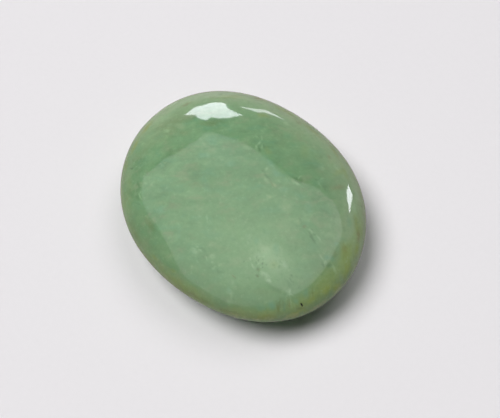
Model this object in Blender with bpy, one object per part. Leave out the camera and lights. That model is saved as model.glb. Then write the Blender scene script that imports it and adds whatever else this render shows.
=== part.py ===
"""Palm stone: an oval pebble of pale green stone, rounded and polished all over.

Units are metres and +Z is up. +X runs along the stone's length. The origin is the middle of
the small flat spot on the underside, which the stone rests on.
"""

import math

import bmesh
import bpy

# Driving dimensions
LENGTH = 0.060
WIDTH = 0.050
DOME_RISE = 0.0025
EDGE_RISE = 0.0071

# How full the shape is: 2 is an ellipse, more is fuller at the corners
OUTLINE_FULLNESS = 2.06
EDGE_FULLNESS = 3.4

# The outline leans a little, as a stone ground by hand does
OUTLINE_LEAN = -0.009
LEAN_WAVES = 4

# The top's highest point lies a little off the middle
APEX_X = -0.0008
APEX_Y = -0.0028

# The underside is slightly shallower, and its middle is a flat spot
UNDER_SHARE = 0.945
FLAT_SHARE = 0.30

# Mesh density
SEGMENTS = 72
TOP_RINGS = 18
UNDER_RINGS = 15

# Polished green stone
STONE_COLOUR = (0.235, 0.345, 0.225, 1.0)
STONE_ROUGHNESS = 0.12
STONE_IOR = 1.56


def clear_scene():
    """Removes every object that the scene starts with."""
    for item in list(bpy.data.objects):
        bpy.data.objects.remove(item, do_unlink=True)


def outline_radius(angle):
    """Distance from the middle to the widest line, at an angle from +X."""
    along = abs(math.cos(angle) / (LENGTH / 2)) ** OUTLINE_FULLNESS
    across = abs(math.sin(angle) / (WIDTH / 2)) ** OUTLINE_FULLNESS
    lean = 1 + OUTLINE_LEAN * math.sin(LEAN_WAVES * angle)
    return lean * (along + across) ** (-1 / OUTLINE_FULLNESS)


def rise(share):
    """Height of the dome above the widest line, where share is 0 at the middle and 1 at the rim."""
    dome = DOME_RISE * (1 - share**2)
    edge = EDGE_RISE * math.sqrt(max(0.0, 1 - share**EDGE_FULLNESS))
    return dome + edge


# The widest line stands as high as the underside is deep at the flat spot's border
BELT_HEIGHT = UNDER_SHARE * rise(FLAT_SHARE)


def ring_share(step, rings, smallest):
    """Share of the outline at a ring: rings crowd together towards the rim, where it is round."""
    start = math.asin(smallest)
    turn = start + (math.pi / 2 - start) * (1 - step / rings)
    return math.sin(turn)


def add_ring(mesh, share, shift, height):
    """Adds one closed ring of points and gives them back in order."""
    points = []
    for index in range(SEGMENTS):
        angle = 2 * math.pi * index / SEGMENTS
        reach = share * outline_radius(angle)
        x = reach * math.cos(angle) + shift * APEX_X
        y = reach * math.sin(angle) + shift * APEX_Y
        points.append(mesh.verts.new((x, y, height)))
    return points


def join_rings(mesh, lower, upper):
    """Closes the band between two rings, facing outwards."""
    for index in range(SEGMENTS):
        after = (index + 1) % SEGMENTS
        mesh.faces.new((lower[index], lower[after], upper[after], upper[index]))


def add_top(mesh, belt):
    """Builds the dome from the widest line up to its highest point."""
    below = belt
    for step in range(1, TOP_RINGS):
        share = ring_share(step, TOP_RINGS, 0.0)
        ring = add_ring(mesh, share, 1 - share**2, BELT_HEIGHT + rise(share))
        join_rings(mesh, below, ring)
        below = ring
    apex = mesh.verts.new((APEX_X, APEX_Y, BELT_HEIGHT + rise(0.0)))
    for index in range(SEGMENTS):
        mesh.faces.new((below[index], below[(index + 1) % SEGMENTS], apex))


def add_underside(mesh, belt):
    """Builds the underside from the widest line down to the flat spot, and closes the flat."""
    above = belt
    for step in range(1, UNDER_RINGS + 1):
        share = ring_share(step, UNDER_RINGS, FLAT_SHARE)
        height = max(0.0, BELT_HEIGHT - UNDER_SHARE * rise(share))
        if step == UNDER_RINGS:
            height = 0.0
        ring = add_ring(mesh, share, 0.0, height)
        join_rings(mesh, ring, above)
        above = ring
    mesh.faces.new(list(reversed(above)))


def stone_material():
    """Pale green polished stone."""
    material = bpy.data.materials.new("green_stone")
    material.use_nodes = True
    shader = material.node_tree.nodes["Principled BSDF"]
    shader.inputs["Base Color"].default_value = STONE_COLOUR
    shader.inputs["Roughness"].default_value = STONE_ROUGHNESS
    shader.inputs["Metallic"].default_value = 0.0
    shader.inputs["IOR"].default_value = STONE_IOR
    return material


def build_stone():
    """Makes the whole stone as one closed, smooth-shaded object."""
    shape = bmesh.new()
    belt = add_ring(shape, 1.0, 0.0, BELT_HEIGHT)
    add_top(shape, belt)
    add_underside(shape, belt)
    data = bpy.data.meshes.new("palm_stone")
    shape.to_mesh(data)
    shape.free()
    data.shade_smooth()
    data.materials.append(stone_material())
    stone = bpy.data.objects.new("palm_stone", data)
    bpy.context.scene.collection.objects.link(stone)
    return stone


def main():
    clear_scene()
    build_stone()


main()
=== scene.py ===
"""Palm stone: the looks of an oval pebble of pale green translucent stone, polished all over.

Everything is in metres in the stone's own frame: +X along its length, +Z up, and the origin in
the middle of the small flat spot that it rests on. Places on the stone that a material names
are in millimetres in that frame, because its patterns are millimetres across.
"""

import logging
import math
from dataclasses import dataclass
from enum import Enum

import bmesh
import bpy
from mathutils import Matrix, Vector


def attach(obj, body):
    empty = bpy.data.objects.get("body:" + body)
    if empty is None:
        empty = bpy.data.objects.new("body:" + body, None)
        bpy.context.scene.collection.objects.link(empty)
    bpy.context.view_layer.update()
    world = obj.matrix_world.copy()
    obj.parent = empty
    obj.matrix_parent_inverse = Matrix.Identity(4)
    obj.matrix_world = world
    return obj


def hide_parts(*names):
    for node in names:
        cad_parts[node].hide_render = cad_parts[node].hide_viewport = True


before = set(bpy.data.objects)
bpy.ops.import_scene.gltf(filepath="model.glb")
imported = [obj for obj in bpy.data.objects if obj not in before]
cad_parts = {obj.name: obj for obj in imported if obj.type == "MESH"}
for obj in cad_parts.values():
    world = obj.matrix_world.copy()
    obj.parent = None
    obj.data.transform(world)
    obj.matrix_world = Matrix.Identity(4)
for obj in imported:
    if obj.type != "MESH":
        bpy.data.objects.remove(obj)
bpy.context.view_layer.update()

log = logging.getLogger("palm_stone")

MM = 0.001
PHOTO_WIDTH = 500
PHOTO_HEIGHT = 418
SENSOR = 36.0

Socket = bpy.types.NodeSocket
Point = tuple[float, float]
Place = tuple[float, float, float]
Colour = tuple[float, float, float]


class Graph:
    """A node tree under construction, with one short method for each kind of node."""

    def __init__(self, tree: bpy.types.NodeTree) -> None:
        """Keeps the tree.

        Args:
            tree: The node tree that the nodes go in.
        """
        self.tree = tree
        self.count = 0

    def node(self, kind: str, **settings: object) -> bpy.types.Node:
        """Adds a node.

        Args:
            kind: Blender's name for the node.
            settings: Properties to set on it.

        Returns:
            The new node.
        """
        made = self.tree.nodes.new(kind)
        made.location = (180 * (self.count % 12), -220 * (self.count // 12))
        self.count += 1
        for name, value in settings.items():
            setattr(made, name, value)
        return made

    def feed(self, socket: Socket, value: object) -> None:
        """Links a socket into an input, or sets the input's own value.

        Args:
            socket: The input.
            value: A socket, a number or a tuple.
        """
        if isinstance(value, bpy.types.NodeSocket):
            self.tree.links.new(value, socket)
        else:
            socket.default_value = value

    def math(self, operation: str, *values: object) -> Socket:
        """One Math node.

        Args:
            operation: Blender's name for the operation.
            values: Its inputs, as sockets or numbers.

        Returns:
            The result.
        """
        made = self.node("ShaderNodeMath", operation=operation)
        for index, value in enumerate(values):
            self.feed(made.inputs[index], value)
        return made.outputs[0]

    def vector(self, operation: str, *values: object) -> bpy.types.Node:
        """One Vector Math node.

        Args:
            operation: Blender's name for the operation.
            values: Its inputs, as sockets or tuples.

        Returns:
            The node, whose result may be a vector or a number.
        """
        made = self.node("ShaderNodeVectorMath", operation=operation)
        for index, value in enumerate(values):
            self.feed(made.inputs[index], value)
        return made

    def ramp(self, value: object, low: float, high: float, most: float = 1.0) -> Socket:
        """Maps a value smoothly to 0 at low and the most at high, which may be the smaller.

        A smooth ramp never leaves its range, so the node's own clamp stays off: with many
        patches its extra nodes would fill the renderer's stack.

        Args:
            value: The value to map.
            low: Where the result is 0.
            high: Where the result is the most.
            most: The largest result.

        Returns:
            A value from 0 to the most.
        """
        made = self.node("ShaderNodeMapRange", clamp=False)
        made.interpolation_type = "SMOOTHSTEP"
        self.feed(made.inputs["Value"], value)
        turned = high < low
        made.inputs["From Min"].default_value = min(low, high)
        made.inputs["From Max"].default_value = max(low, high)
        made.inputs["To Min"].default_value = most if turned else 0.0
        made.inputs["To Max"].default_value = 0.0 if turned else most
        return made.outputs["Result"]

    def mix(self, share: object, first: object, second: object) -> Socket:
        """Mixes two colours.

        Args:
            share: 0 for the first colour, 1 for the second.
            first: A colour or socket.
            second: A colour or socket.

        Returns:
            The mixed colour.
        """
        made = self.node("ShaderNodeMix", data_type="RGBA")
        self.feed(made.inputs[0], share)
        self.feed(made.inputs[6], rgba(first))
        self.feed(made.inputs[7], rgba(second))
        return made.outputs[2]

    def noise(
        self,
        place: Socket,
        size: float,
        detail: float = 3.0,
        roughness: float = 0.5,
        distortion: float = 0.0,
    ) -> Socket:
        """A noise pattern around 0.5.

        Args:
            place: Where to read it, in millimetres.
            size: The size of its largest patches, in millimetres.
            detail: How many finer layers it has.
            roughness: How strong the finer layers are.
            distortion: How much it swirls.

        Returns:
            The noise value.
        """
        made = self.node("ShaderNodeTexNoise")
        self.feed(made.inputs["Vector"], place)
        made.inputs["Scale"].default_value = 1.0 / size
        made.inputs["Detail"].default_value = detail
        made.inputs["Roughness"].default_value = roughness
        made.inputs["Distortion"].default_value = distortion
        return made.outputs["Fac"]

    def mapped(
        self,
        place: Socket,
        shift: Place = (0.0, 0.0, 0.0),
        turn: float = 0.0,
        scale: Place = (1.0, 1.0, 1.0),
    ) -> Socket:
        """Moves, turns and stretches the place that a pattern is read at.

        Args:
            place: The place.
            shift: The pattern's new centre, in millimetres.
            turn: The pattern's turn about +Z, in degrees.
            scale: How much longer the pattern's features get along its own axes.

        Returns:
            The place in the pattern's own axes.
        """
        made = self.node("ShaderNodeMapping", vector_type="TEXTURE")
        self.feed(made.inputs["Vector"], place)
        made.inputs["Location"].default_value = shift
        made.inputs["Rotation"].default_value = (0.0, 0.0, math.radians(turn))
        made.inputs["Scale"].default_value = scale
        return made.outputs["Vector"]


def rgba(value: object) -> object:
    """Gives a plain colour its alpha, and leaves a socket as it is.

    Args:
        value: A colour or a socket.

    Returns:
        The colour with its alpha, or the socket.
    """
    if isinstance(value, tuple) and len(value) == 3:
        return (*value, 1.0)
    return value


class Tint(Enum):
    """What a patch in the stone does to its colour."""

    MILKY = "milky"
    PALE = "pale"
    DEEP = "deep"
    PALE_GREY_AND_SHEEN = "pale_grey_and_sheen"
    OLIVE = "olive"
    MOSS = "moss"
    BROWN = "brown"
    TEAL = "teal"
    WARM = "warm"
    GRAIN = "grain"
    GOLD = "gold"
    LIP_SHEEN = "lip"


@dataclass(frozen=True)
class Patch:
    """A soft patch of another tint: mostly an oval cloud inside the stone, and along the near edge
    a painted reflection.

    Fields are its middle and its half sizes along its own axes, in millimetres, the turn of its
    length from +X in degrees, and its strength.
    """

    tint: Tint
    middle: Place
    size: Place
    turn: float
    strength: float


@dataclass(frozen=True)
class Inclusion:
    """A small dark grain in the stone, at a place in millimetres, with its half sizes."""

    middle: Point
    half_length: float
    half_width: float
    turn: float
    darkness: float


@dataclass(frozen=True)
class PolishedGreenStone:
    """The stone's finish: cloudy green with olive edges, healed cracks and a glassy polish, with
    painted reflection and shade along the rim.
    """

    name: str = "polished_green_stone"
    body: Colour = (0.167, 0.325, 0.156)
    pale: Colour = (0.252, 0.420, 0.219)
    deep: Colour = (0.115, 0.235, 0.105)
    milky: Colour = (0.420, 0.610, 0.370)
    # Pale grey: a tone of some patches, and the painted reflection on the far rim
    pale_grey_and_sheen: Colour = (0.330, 0.440, 0.255)
    olive: Colour = (0.255, 0.325, 0.090)
    moss: Colour = (0.165, 0.220, 0.065)
    brown: Colour = (0.240, 0.210, 0.100)
    teal: Colour = (0.190, 0.385, 0.235)
    warm: Colour = (0.370, 0.480, 0.270)
    haze: Colour = (0.265, 0.330, 0.190)
    cool: Colour = (0.145, 0.345, 0.195)
    grain: Colour = (0.010, 0.012, 0.006)
    gold: Colour = (0.285, 0.380, 0.092)
    # The colour of the painted reflection along the near edge
    lip: Colour = (0.370, 0.430, 0.200)
    roughness: float = 0.055
    index: float = 1.56
    glow_share: float = 0.45
    glow_depth: float = 3.5 * MM
    glow_spread: Place = (0.75, 1.0, 0.65)
    wipe: float = 0.05
    ripple_size: float = 1.6
    ripple_height: float = 0.006 * MM
    grain_turn: float = 52.0
    grain_stretch: Place = (1.8, 1.0, 1.0)
    fibre_turn: float = -12.0
    fibre_stretch: Place = (5.0, 0.6, 5.0)
    patch_core: float = 0.1
    patch_border: float = 1.35

    patches: tuple[Patch, ...] = (
        # Broad clouds
        Patch(Tint.PALE, (16.0, -8.0, 14.0), (17.0, 14.0, 12.0), 15, 0.80),
        Patch(Tint.TEAL, (-9.0, 1.0, 17.0), (7.0, 4.5, 4.0), 10, 0.20),
        Patch(Tint.DEEP, (2.0, 12.5, 17.0), (9.0, 3.2, 3.0), -5, 0.15),
        Patch(Tint.BROWN, (-22.0, -2.5, 15.8), (3.4, 6.0, 2.8), 5, 0.24),
        Patch(Tint.DEEP, (-19.0, -15.0, 12.5), (7.0, 5.0, 5.0), -40, 0.25),
        Patch(Tint.DEEP, (-7.0, -22.5, 12.0), (9.0, 3.5, 4.0), -10, 0.25),
        Patch(Tint.MILKY, (17.0, -6.8, 16.5), (5.4, 3.2, 3.0), 8, 0.40),
        # Painted reflection: a pale warm line along the near edge, where the rim mirrors the floor
        Patch(Tint.WARM, (23.5, -18.0, 8.9), (7.5, 1.8, 1.6), 40, 0.35),
        Patch(Tint.GOLD, (27.3, -1.0, 12.0), (2.8, 6.5, 3.0), 10, 0.65),
        Patch(Tint.GOLD, (26.0, 7.0, 12.7), (1.9, 4.2, 2.6), 30, 0.70),
        Patch(Tint.GOLD, (23.5, 12.8, 12.0), (1.4, 3.6, 2.0), 38, 0.45),
        Patch(Tint.GOLD, (27.0, -8.0, 11.5), (2.2, 4.0, 2.6), -12, 0.50),
        Patch(Tint.GOLD, (24.2, -14.0, 11.3), (1.8, 3.6, 2.2), -32, 0.55),
        Patch(Tint.OLIVE, (20.5, -18.4, 10.6), (4.5, 1.9, 2.4), 40, 0.50),
        Patch(Tint.OLIVE, (9.5, -23.4, 10.6), (11.0, 2.0, 2.6), 14, 0.45),
        # Flecks and healed cracks towards the back
        Patch(Tint.MILKY, (-4.9, 9.1, 17.6), (0.8, 0.32, 0.8), -69, 0.39),
        Patch(Tint.MILKY, (-4.4, 8.0, 17.7), (0.7, 0.36, 0.8), -30, 0.41),
        Patch(Tint.MILKY, (-6.4, 9.8, 17.4), (0.3, 0.41, 0.8), 61, 0.26),
        Patch(Tint.MILKY, (-5.6, 10.5, 17.3), (0.8, 0.29, 0.8), -42, 0.21),
        Patch(Tint.MILKY, (-3.6, 8.8, 17.6), (0.8, 0.29, 0.8), -42, 0.26),
        Patch(Tint.DEEP, (-3.6, 8.1, 17.7), (0.8, 0.44, 0.8), -18, 0.74),
        Patch(Tint.DEEP, (-3.5, 9.3, 17.6), (0.7, 0.3, 0.8), -34, 0.51),
        Patch(Tint.OLIVE, (-2.0, 9.2, 17.6), (1.2, 1, 0.9), -15, 0.30),
        Patch(Tint.MILKY, (1.2, 5.9, 18.0), (0.6, 0.47, 0.8), -77, 0.26),
        Patch(Tint.DEEP, (1.0, 5.2, 18.1), (0.7, 0.45, 0.8), -17, 0.64),
        Patch(Tint.DEEP, (2.8, 4.6, 18.1), (1.3, 0.39, 0.8), -10, 0.55),
        Patch(Tint.MILKY, (3.3, 4.0, 18.1), (1.1, 0.6, 0.8), -6, 0.26),
        Patch(Tint.WARM, (5.1, 4.7, 18.0), (0.6, 0.37, 0.8), -6, 0.37),
        Patch(Tint.BROWN, (4.8, 4.3, 18.1), (1.0, 0.24, 0.8), -24, 0.28),
        Patch(Tint.WARM, (6.7, 1.9, 18.1), (0.7, 0.46, 0.8), 52, 0.29),
        Patch(Tint.DEEP, (7.0, 9.2, 17.4), (1.2, 0.50, 0.8), 16, 0.88),
        Patch(Tint.MILKY, (7.4, 8.6, 17.4), (1.3, 0.60, 0.8), 19, 0.24),
        Patch(Tint.MILKY, (8.0, 8.9, 17.4), (0.6, 0.40, 0.8), 38, 0.28),
        Patch(Tint.DEEP, (7.8, 10.0, 17.2), (0.6, 0.43, 0.8), 5, 0.55),
        Patch(Tint.MILKY, (7.2, 10.2, 17.2), (0.6, 0.29, 0.8), -84, 0.26),
        Patch(Tint.DEEP, (9.4, 13.0, 16.4), (0.8, 0.35, 0.8), 44, 0.55),
        Patch(Tint.MILKY, (10.3, 14.0, 16.0), (0.8, 0.36, 0.8), 71, 0.21),
        Patch(Tint.MILKY, (11.0, 12.7, 16.2), (1.0, 0.36, 0.8), -20, 0.21),
        Patch(Tint.DEEP, (12.0, 13.3, 15.9), (1.1, 0.59, 0.8), -15, 0.37),
        Patch(Tint.MILKY, (8.1, 16.1, 15.6), (1.1, 0.73, 0.8), -10, 0.20),
        Patch(Tint.MILKY, (9.7, 19.3, 14.0), (1.1, 0.68, 0.9), -2, 0.24),
        Patch(Tint.BROWN, (6.6, 19.8, 14.2), (0.9, 0.49, 0.8), -9, 0.32),
        Patch(Tint.BROWN, (-4.6, 21.1, 13.5), (1.1, 0.86, 1.3), -41, 0.24),
        Patch(Tint.MILKY, (-5.9, 18.2, 14.9), (1.1, 0.59, 0.8), -7, 0.26),
        Patch(Tint.OLIVE, (-10.4, 15.2, 15.6), (1.6, 0.88, 0.9), 47, 0.50),
        Patch(Tint.DEEP, (-8.6, 13.6, 16.3), (0.8, 0.66, 0.8), -59, 0.21),
        Patch(Tint.MILKY, (-5.5, 6.1, 17.9), (1.4, 0.67, 0.8), 18, 0.20),
        Patch(Tint.TEAL, (0.9, 7.5, 17.9), (1.4, 0.96, 0.9), -9, 0.50),
        Patch(Tint.TEAL, (3.3, 6.8, 17.9), (1.1, 1, 0.9), 14, 0.45),
        Patch(Tint.BROWN, (-2.8, 13.4, 16.7), (2.9, 1.6, 1.3), -46, 0.11),
        Patch(Tint.BROWN, (-1.7, 18.0, 15.3), (2.7, 1.9, 2.0), -63, 0.11),
        Patch(Tint.OLIVE, (2.8, 15.8, 16.1), (2.6, 1.3, 1.3), -48, 0.18),
        Patch(Tint.TEAL, (7.0, 15.9, 15.8), (1.7, 1.4, 1.2), 16, 0.25),
        Patch(Tint.BROWN, (13.6, 16.1, 14.7), (2.2, 0.74, 1.8), 66, 0.35),
        Patch(Tint.OLIVE, (10.8, 19.2, 13.9), (2.4, 0.91, 2.3), -89, 0.35),
        Patch(Tint.TEAL, (7.5, 5.4, 17.8), (1.3, 0.84, 0.8), 56, 0.35),
        # Flecks and stains on the right
        Patch(Tint.WARM, (14.8, 2.8, 17.2), (0.6, 0.59, 0.8), 61, 0.26),
        Patch(Tint.BROWN, (16.3, 3.2, 16.9), (0.6, 0.45, 0.8), 60, 0.35),
        Patch(Tint.DEEP, (14.6, 3.5, 17.2), (0.6, 0.3, 0.8), -2, 0.37),
        Patch(Tint.DEEP, (19.3, 2.8, 16.2), (2.2, 0.34, 1.1), -7, 0.69),
        Patch(Tint.MILKY, (18.1, 3.5, 16.4), (0.8, 0.37, 0.8), -0, 0.37),
        Patch(Tint.MILKY, (20.2, 3.9, 15.8), (0.8, 0.31, 0.8), 1, 0.29),
        Patch(Tint.DEEP, (18.0, 3.8, 16.4), (0.4, 0.3, 0.8), -1, 0.51),
        Patch(Tint.DEEP, (19.1, 3.6, 16.2), (0.4, 0.35, 0.8), -0, 0.46),
        Patch(Tint.MILKY, (23.4, 1.8, 14.9), (1.0, 0.32, 0.9), -2, 0.32),
        Patch(Tint.MILKY, (24.5, 1.8, 14.4), (0.4, 0.41, 0.8), 6, 0.32),
        Patch(Tint.DEEP, (25.4, 2.1, 13.9), (0.8, 0.65, 0.9), 25, 0.60),
        Patch(Tint.DEEP, (24.6, 1.1, 14.4), (0.7, 0.34, 0.8), -7, 0.55),
        Patch(Tint.TEAL, (24.0, 2.8, 14.5), (0.9, 0.8, 0.8), 69, 0.55),
        Patch(Tint.MILKY, (26.5, 2.6, 13.2), (1.3, 0.49, 1.4), -11, 0.39),
        Patch(Tint.TEAL, (24.7, 3.7, 14.1), (0.8, 0.64, 0.8), -59, 0.50),
        Patch(Tint.MOSS, (24.4, 4.9, 14.1), (0.9, 0.76, 0.9), 87, 0.38),
        Patch(Tint.OLIVE, (24.8, 7.1, 13.4), (2.2, 1, 1.6), -40, 0.60),
        Patch(Tint.BROWN, (24.9, 7.3, 13.3), (0.9, 0.68, 1.0), -6, 0.24),
        Patch(Tint.GOLD, (28.1, 5.1, 11.4), (2.1, 0.93, 2.1), -64, 0.80),
        Patch(Tint.GOLD, (29.3, 1.1, 10.7), (1.6, 0.83, 1.9), 87, 0.80),
        Patch(Tint.GOLD, (28.4, -1.4, 11.9), (1.5, 0.68, 1.2), 74, 0.60),
        Patch(Tint.TEAL, (23.1, 6.3, 14.4), (0.8, 0.61, 0.8), 74, 0.40),
        Patch(Tint.BROWN, (24.1, 12.3, 11.9), (1.7, 0.61, 1.1), -39, 0.49),
        Patch(Tint.GOLD, (26.1, 9.9, 11.4), (1.9, 0.76, 1.4), -51, 0.70),
        Patch(Tint.MILKY, (23.9, 8.4, 13.5), (0.9, 0.34, 0.8), -32, 0.21),
        Patch(Tint.MILKY, (19.0, 15.7, 13.1), (2.2, 0.68, 0.9), -29, 0.23),
        Patch(Tint.OLIVE, (21.6, 13.8, 12.7), (2.4, 0.68, 1.1), -36, 0.50),
        Patch(Tint.TEAL, (20.9, 12.3, 13.7), (1.8, 0.72, 1.0), -36, 0.35),
        Patch(Tint.MILKY, (15.2, -6.6, 17.2), (1.1, 1, 0.9), -81, 0.36),
        Patch(Tint.WARM, (17.8, -7.3, 16.5), (1.4, 1.2, 0.9), -10, 0.22),
        Patch(Tint.MILKY, (15.5, -8.8, 16.9), (1.5, 1.4, 1.2), 76, 0.16),
        Patch(Tint.GRAIN, (16.9, -10.4, 16.3), (0.4, 0.35, 0.8), 51, 0.24),
        Patch(Tint.GRAIN, (17.7, -11.3, 15.9), (0.4, 0.28, 0.8), 50, 0.32),
        Patch(Tint.GRAIN, (16.9, -9.0, 16.6), (0.3, 0.27, 0.8), 52, 0.35),
        Patch(Tint.GRAIN, (15.8, -9.3, 16.8), (0.2, 0.24, 0.8), 52, 0.30),
        Patch(Tint.GRAIN, (17.6, -9.5, 16.3), (0.2, 0.24, 0.8), 52, 0.25),
        Patch(Tint.GRAIN, (15.5, -10.0, 16.7), (0.2, 0.24, 0.8), 50, 0.22),
        Patch(Tint.MILKY, (19.0, -10.1, 15.8), (1.3, 0.71, 0.8), 7, 0.29),
        Patch(Tint.MILKY, (20.2, -10.1, 15.4), (0.6, 0.41, 0.8), 51, 0.47),
        Patch(Tint.MILKY, (24.2, -8.2, 14.0), (0.6, 0.68, 0.8), -47, 0.32),
        Patch(Tint.MILKY, (20.0, -5.8, 16.1), (1.1, 0.52, 0.8), 2, 0.18),
        Patch(Tint.DEEP, (19.6, -6.8, 16.1), (0.4, 0.34, 0.8), 53, 0.37),
        Patch(Tint.DEEP, (22.3, -5.8, 15.3), (0.4, 0.35, 0.8), 15, 0.46),
        Patch(Tint.DEEP, (23.1, -6.6, 14.9), (1.3, 0.33, 1.0), 6, 0.37),
        Patch(Tint.MILKY, (22.8, -7.0, 14.9), (1.1, 0.29, 0.9), 6, 0.18),
        Patch(Tint.PALE_GREY_AND_SHEEN, (10.9, 2.9, 17.7), (1.7, 1.4, 1.1), 61, 0.30),
        Patch(Tint.TEAL, (13.6, 7.0, 16.9), (1.7, 1.1, 0.9), -48, 0.30),
        Patch(Tint.PALE_GREY_AND_SHEEN, (13.4, -0.2, 17.6), (3.0, 1.6, 1.2), 54, 0.25),
        Patch(Tint.DEEP, (18.2, -2.0, 16.7), (2.0, 1.8, 1.4), -84, 0.10),
        # Flecks and streaks at the front
        Patch(Tint.MILKY, (5.5, -17.8, 16.2), (1.1, 0.62, 0.8), 9, 0.32),
        Patch(Tint.MILKY, (8.8, -15.9, 16.5), (0.9, 0.64, 0.8), 18, 0.21),
        Patch(Tint.MILKY, (10.6, -16.9, 15.8), (0.8, 0.29, 0.8), 79, 0.21),
        Patch(Tint.DEEP, (11.8, -16.8, 15.7), (0.7, 0.44, 0.8), 28, 0.41),
        Patch(Tint.DEEP, (6.4, -16.3, 16.6), (1.2, 0.3, 0.8), 17, 0.28),
        Patch(Tint.MILKY, (11.2, -15.5, 16.3), (0.8, 0.29, 0.8), 80, 0.18),
        Patch(Tint.BROWN, (15.0, -15.2, 15.5), (0.7, 0.24, 0.8), 2, 0.49),
        Patch(Tint.MILKY, (16.4, -17.5, 13.9), (0.9, 0.62, 0.9), 17, 0.29),
        Patch(Tint.MILKY, (17.5, -18.7, 12.4), (0.9, 0.62, 1.1), 42, 0.17),
        Patch(Tint.MILKY, (15.6, -16.3, 14.9), (1.1, 0.64, 0.9), -7, 0.13),
        Patch(Tint.TEAL, (12.4, -6.9, 17.6), (1.0, 0.57, 0.8), -41, 0.30),
        Patch(Tint.MILKY, (11.0, -7.3, 17.7), (1.0, 0.68, 0.8), -41, 0.13),
        Patch(Tint.PALE_GREY_AND_SHEEN, (7.0, -14.1, 17.2), (1.7, 0.83, 0.8), 45, 0.25),
        Patch(Tint.PALE_GREY_AND_SHEEN, (13.0, -12.9, 16.7), (1.4, 1.2, 1.0), 45, 0.25),
        Patch(Tint.OLIVE, (4.4, -23.1, 12.6), (1.0, 0.42, 1.0), 23, 0.50),
        Patch(Tint.OLIVE, (-0.5, -24.1, 11.8), (1.1, 0.38, 1.0), 8, 0.45),
        Patch(Tint.MOSS, (-6.1, -20.7, 14.8), (2.3, 0.8, 0.9), -10, 0.26),
        Patch(Tint.MOSS, (11.3, -22.9, 10.2), (5.3, 0.35, 1.7), 18, 0.60),
        Patch(Tint.MOSS, (18.4, -19.8, 10.1), (3.7, 0.39, 2.4), 34, 0.60),
        Patch(Tint.OLIVE, (24.1, -15.1, 10.4), (3.6, 0.42, 1.6), 50, 0.80),
        Patch(Tint.MOSS, (4.3, -24.6, 9.2), (3.5, 0.3, 2.0), 6, 0.38),
        Patch(Tint.GOLD, (28.1, -9.2, 10.0), (2.8, 0.41, 1.8), 70, 0.80),
        Patch(Tint.TEAL, (22.9, -14.4, 12.3), (1.4, 0.71, 1.4), 49, 0.55),
        Patch(Tint.TEAL, (24.0, -12.6, 12.6), (0.9, 0.73, 1.4), 23, 0.55),
        Patch(Tint.MOSS, (25.0, -11.9, 12.2), (1.2, 0.36, 2.1), -26, 0.52),
        Patch(Tint.MOSS, (25.4, -10.6, 12.5), (1.1, 0.36, 1.7), -22, 0.45),
        Patch(Tint.MILKY, (25.3, -9.6, 12.9), (1.5, 0.31, 1.9), -38, 0.18),
        Patch(Tint.BROWN, (26.0, -9.5, 12.4), (1.1, 0.26, 1.7), -37, 0.35),
        Patch(Tint.MILKY, (25.4, -11.4, 12.1), (0.9, 0.34, 1.6), -23, 0.15),
        Patch(Tint.MOSS, (28.0, -8.0, 10.9), (0.9, 0.49, 1.1), 73, 0.45),
        Patch(Tint.TEAL, (26.6, -8.2, 12.4), (0.9, 0.68, 1.0), 56, 0.35),
        Patch(Tint.GOLD, (28.1, -5.1, 11.8), (1.6, 0.71, 1.5), -88, 0.60),
        # Flecks and stains on the left
        Patch(Tint.MILKY, (-21.4, -3.7, 15.9), (1.1, 0.61, 0.8), 66, 0.32),
        Patch(Tint.BROWN, (-17.9, -1.6, 17.0), (1.7, 0.98, 0.9), 25, 0.20),
        Patch(Tint.PALE_GREY_AND_SHEEN, (-20.0, -0.8, 16.5), (1.7, 0.84, 1.0), 24, 0.40),
        Patch(Tint.DEEP, (-16.3, -6.8, 17.1), (0.7, 0.69, 0.8), 15, 0.36),
        Patch(Tint.DEEP, (-15.2, -5.4, 17.4), (3.1, 0.8, 0.8), 87, 0.21),
        Patch(Tint.GRAIN, (-20.2, -15.0, 13.7), (0.6, 0.26, 0.8), 18, 0.50),
        Patch(Tint.DEEP, (-15.2, -16.7, 15.0), (1.1, 0.4, 0.8), -13, 0.69),
        Patch(Tint.DEEP, (-15.1, -19.0, 13.6), (1.8, 0.62, 1.4), -5, 0.56),
        Patch(Tint.DEEP, (-12.9, -18.8, 14.6), (1.0, 0.49, 0.8), 5, 0.55),
        Patch(Tint.DEEP, (-11.8, -19.5, 14.5), (0.9, 0.34, 1.0), 23, 0.46),
        Patch(Tint.MILKY, (-12.6, -18.2, 15.0), (1.0, 0.29, 0.8), -12, 0.32),
        Patch(Tint.MILKY, (-13.4, -17.5, 15.2), (0.4, 0.36, 0.8), -85, 0.26),
        Patch(Tint.TEAL, (-6.6, -17.2, 16.5), (1.3, 0.86, 0.9), 34, 0.50),
        Patch(Tint.WARM, (-8.2, -9.2, 18.0), (1.2, 0.78, 0.8), 44, 0.20),
        Patch(Tint.BROWN, (-9.4, -5.4, 18.1), (1.5, 1.3, 1.1), 39, 0.10),
        Patch(Tint.BROWN, (-5.0, -7.6, 18.2), (3.7, 0.72, 0.8), 44, 0.14),
        Patch(Tint.BROWN, (-7.1, -15.6, 17.0), (2.9, 0.66, 1.3), 42, 0.11),
        Patch(Tint.PALE_GREY_AND_SHEEN, (-2.4, -12.5, 17.8), (3.0, 0.68, 0.8), 46, 0.20),
        Patch(Tint.TEAL, (-10.0, -2.3, 18.1), (1.3, 0.77, 0.8), 46, 0.40),
        Patch(Tint.TEAL, (-4.8, 0.9, 18.3), (1.1, 1, 0.9), 49, 0.35),
        Patch(Tint.PALE_GREY_AND_SHEEN, (-10.0, 0.0, 18.1), (1.3, 1.1, 1.0), -35, 0.20),
        Patch(Tint.DEEP, (-1.2, -8.6, 18.2), (0.9, 0.7, 0.8), 43, 0.17),
        Patch(Tint.MILKY, (1.8, -11.4, 17.9), (1.0, 0.29, 0.8), -32, 0.26),
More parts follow.
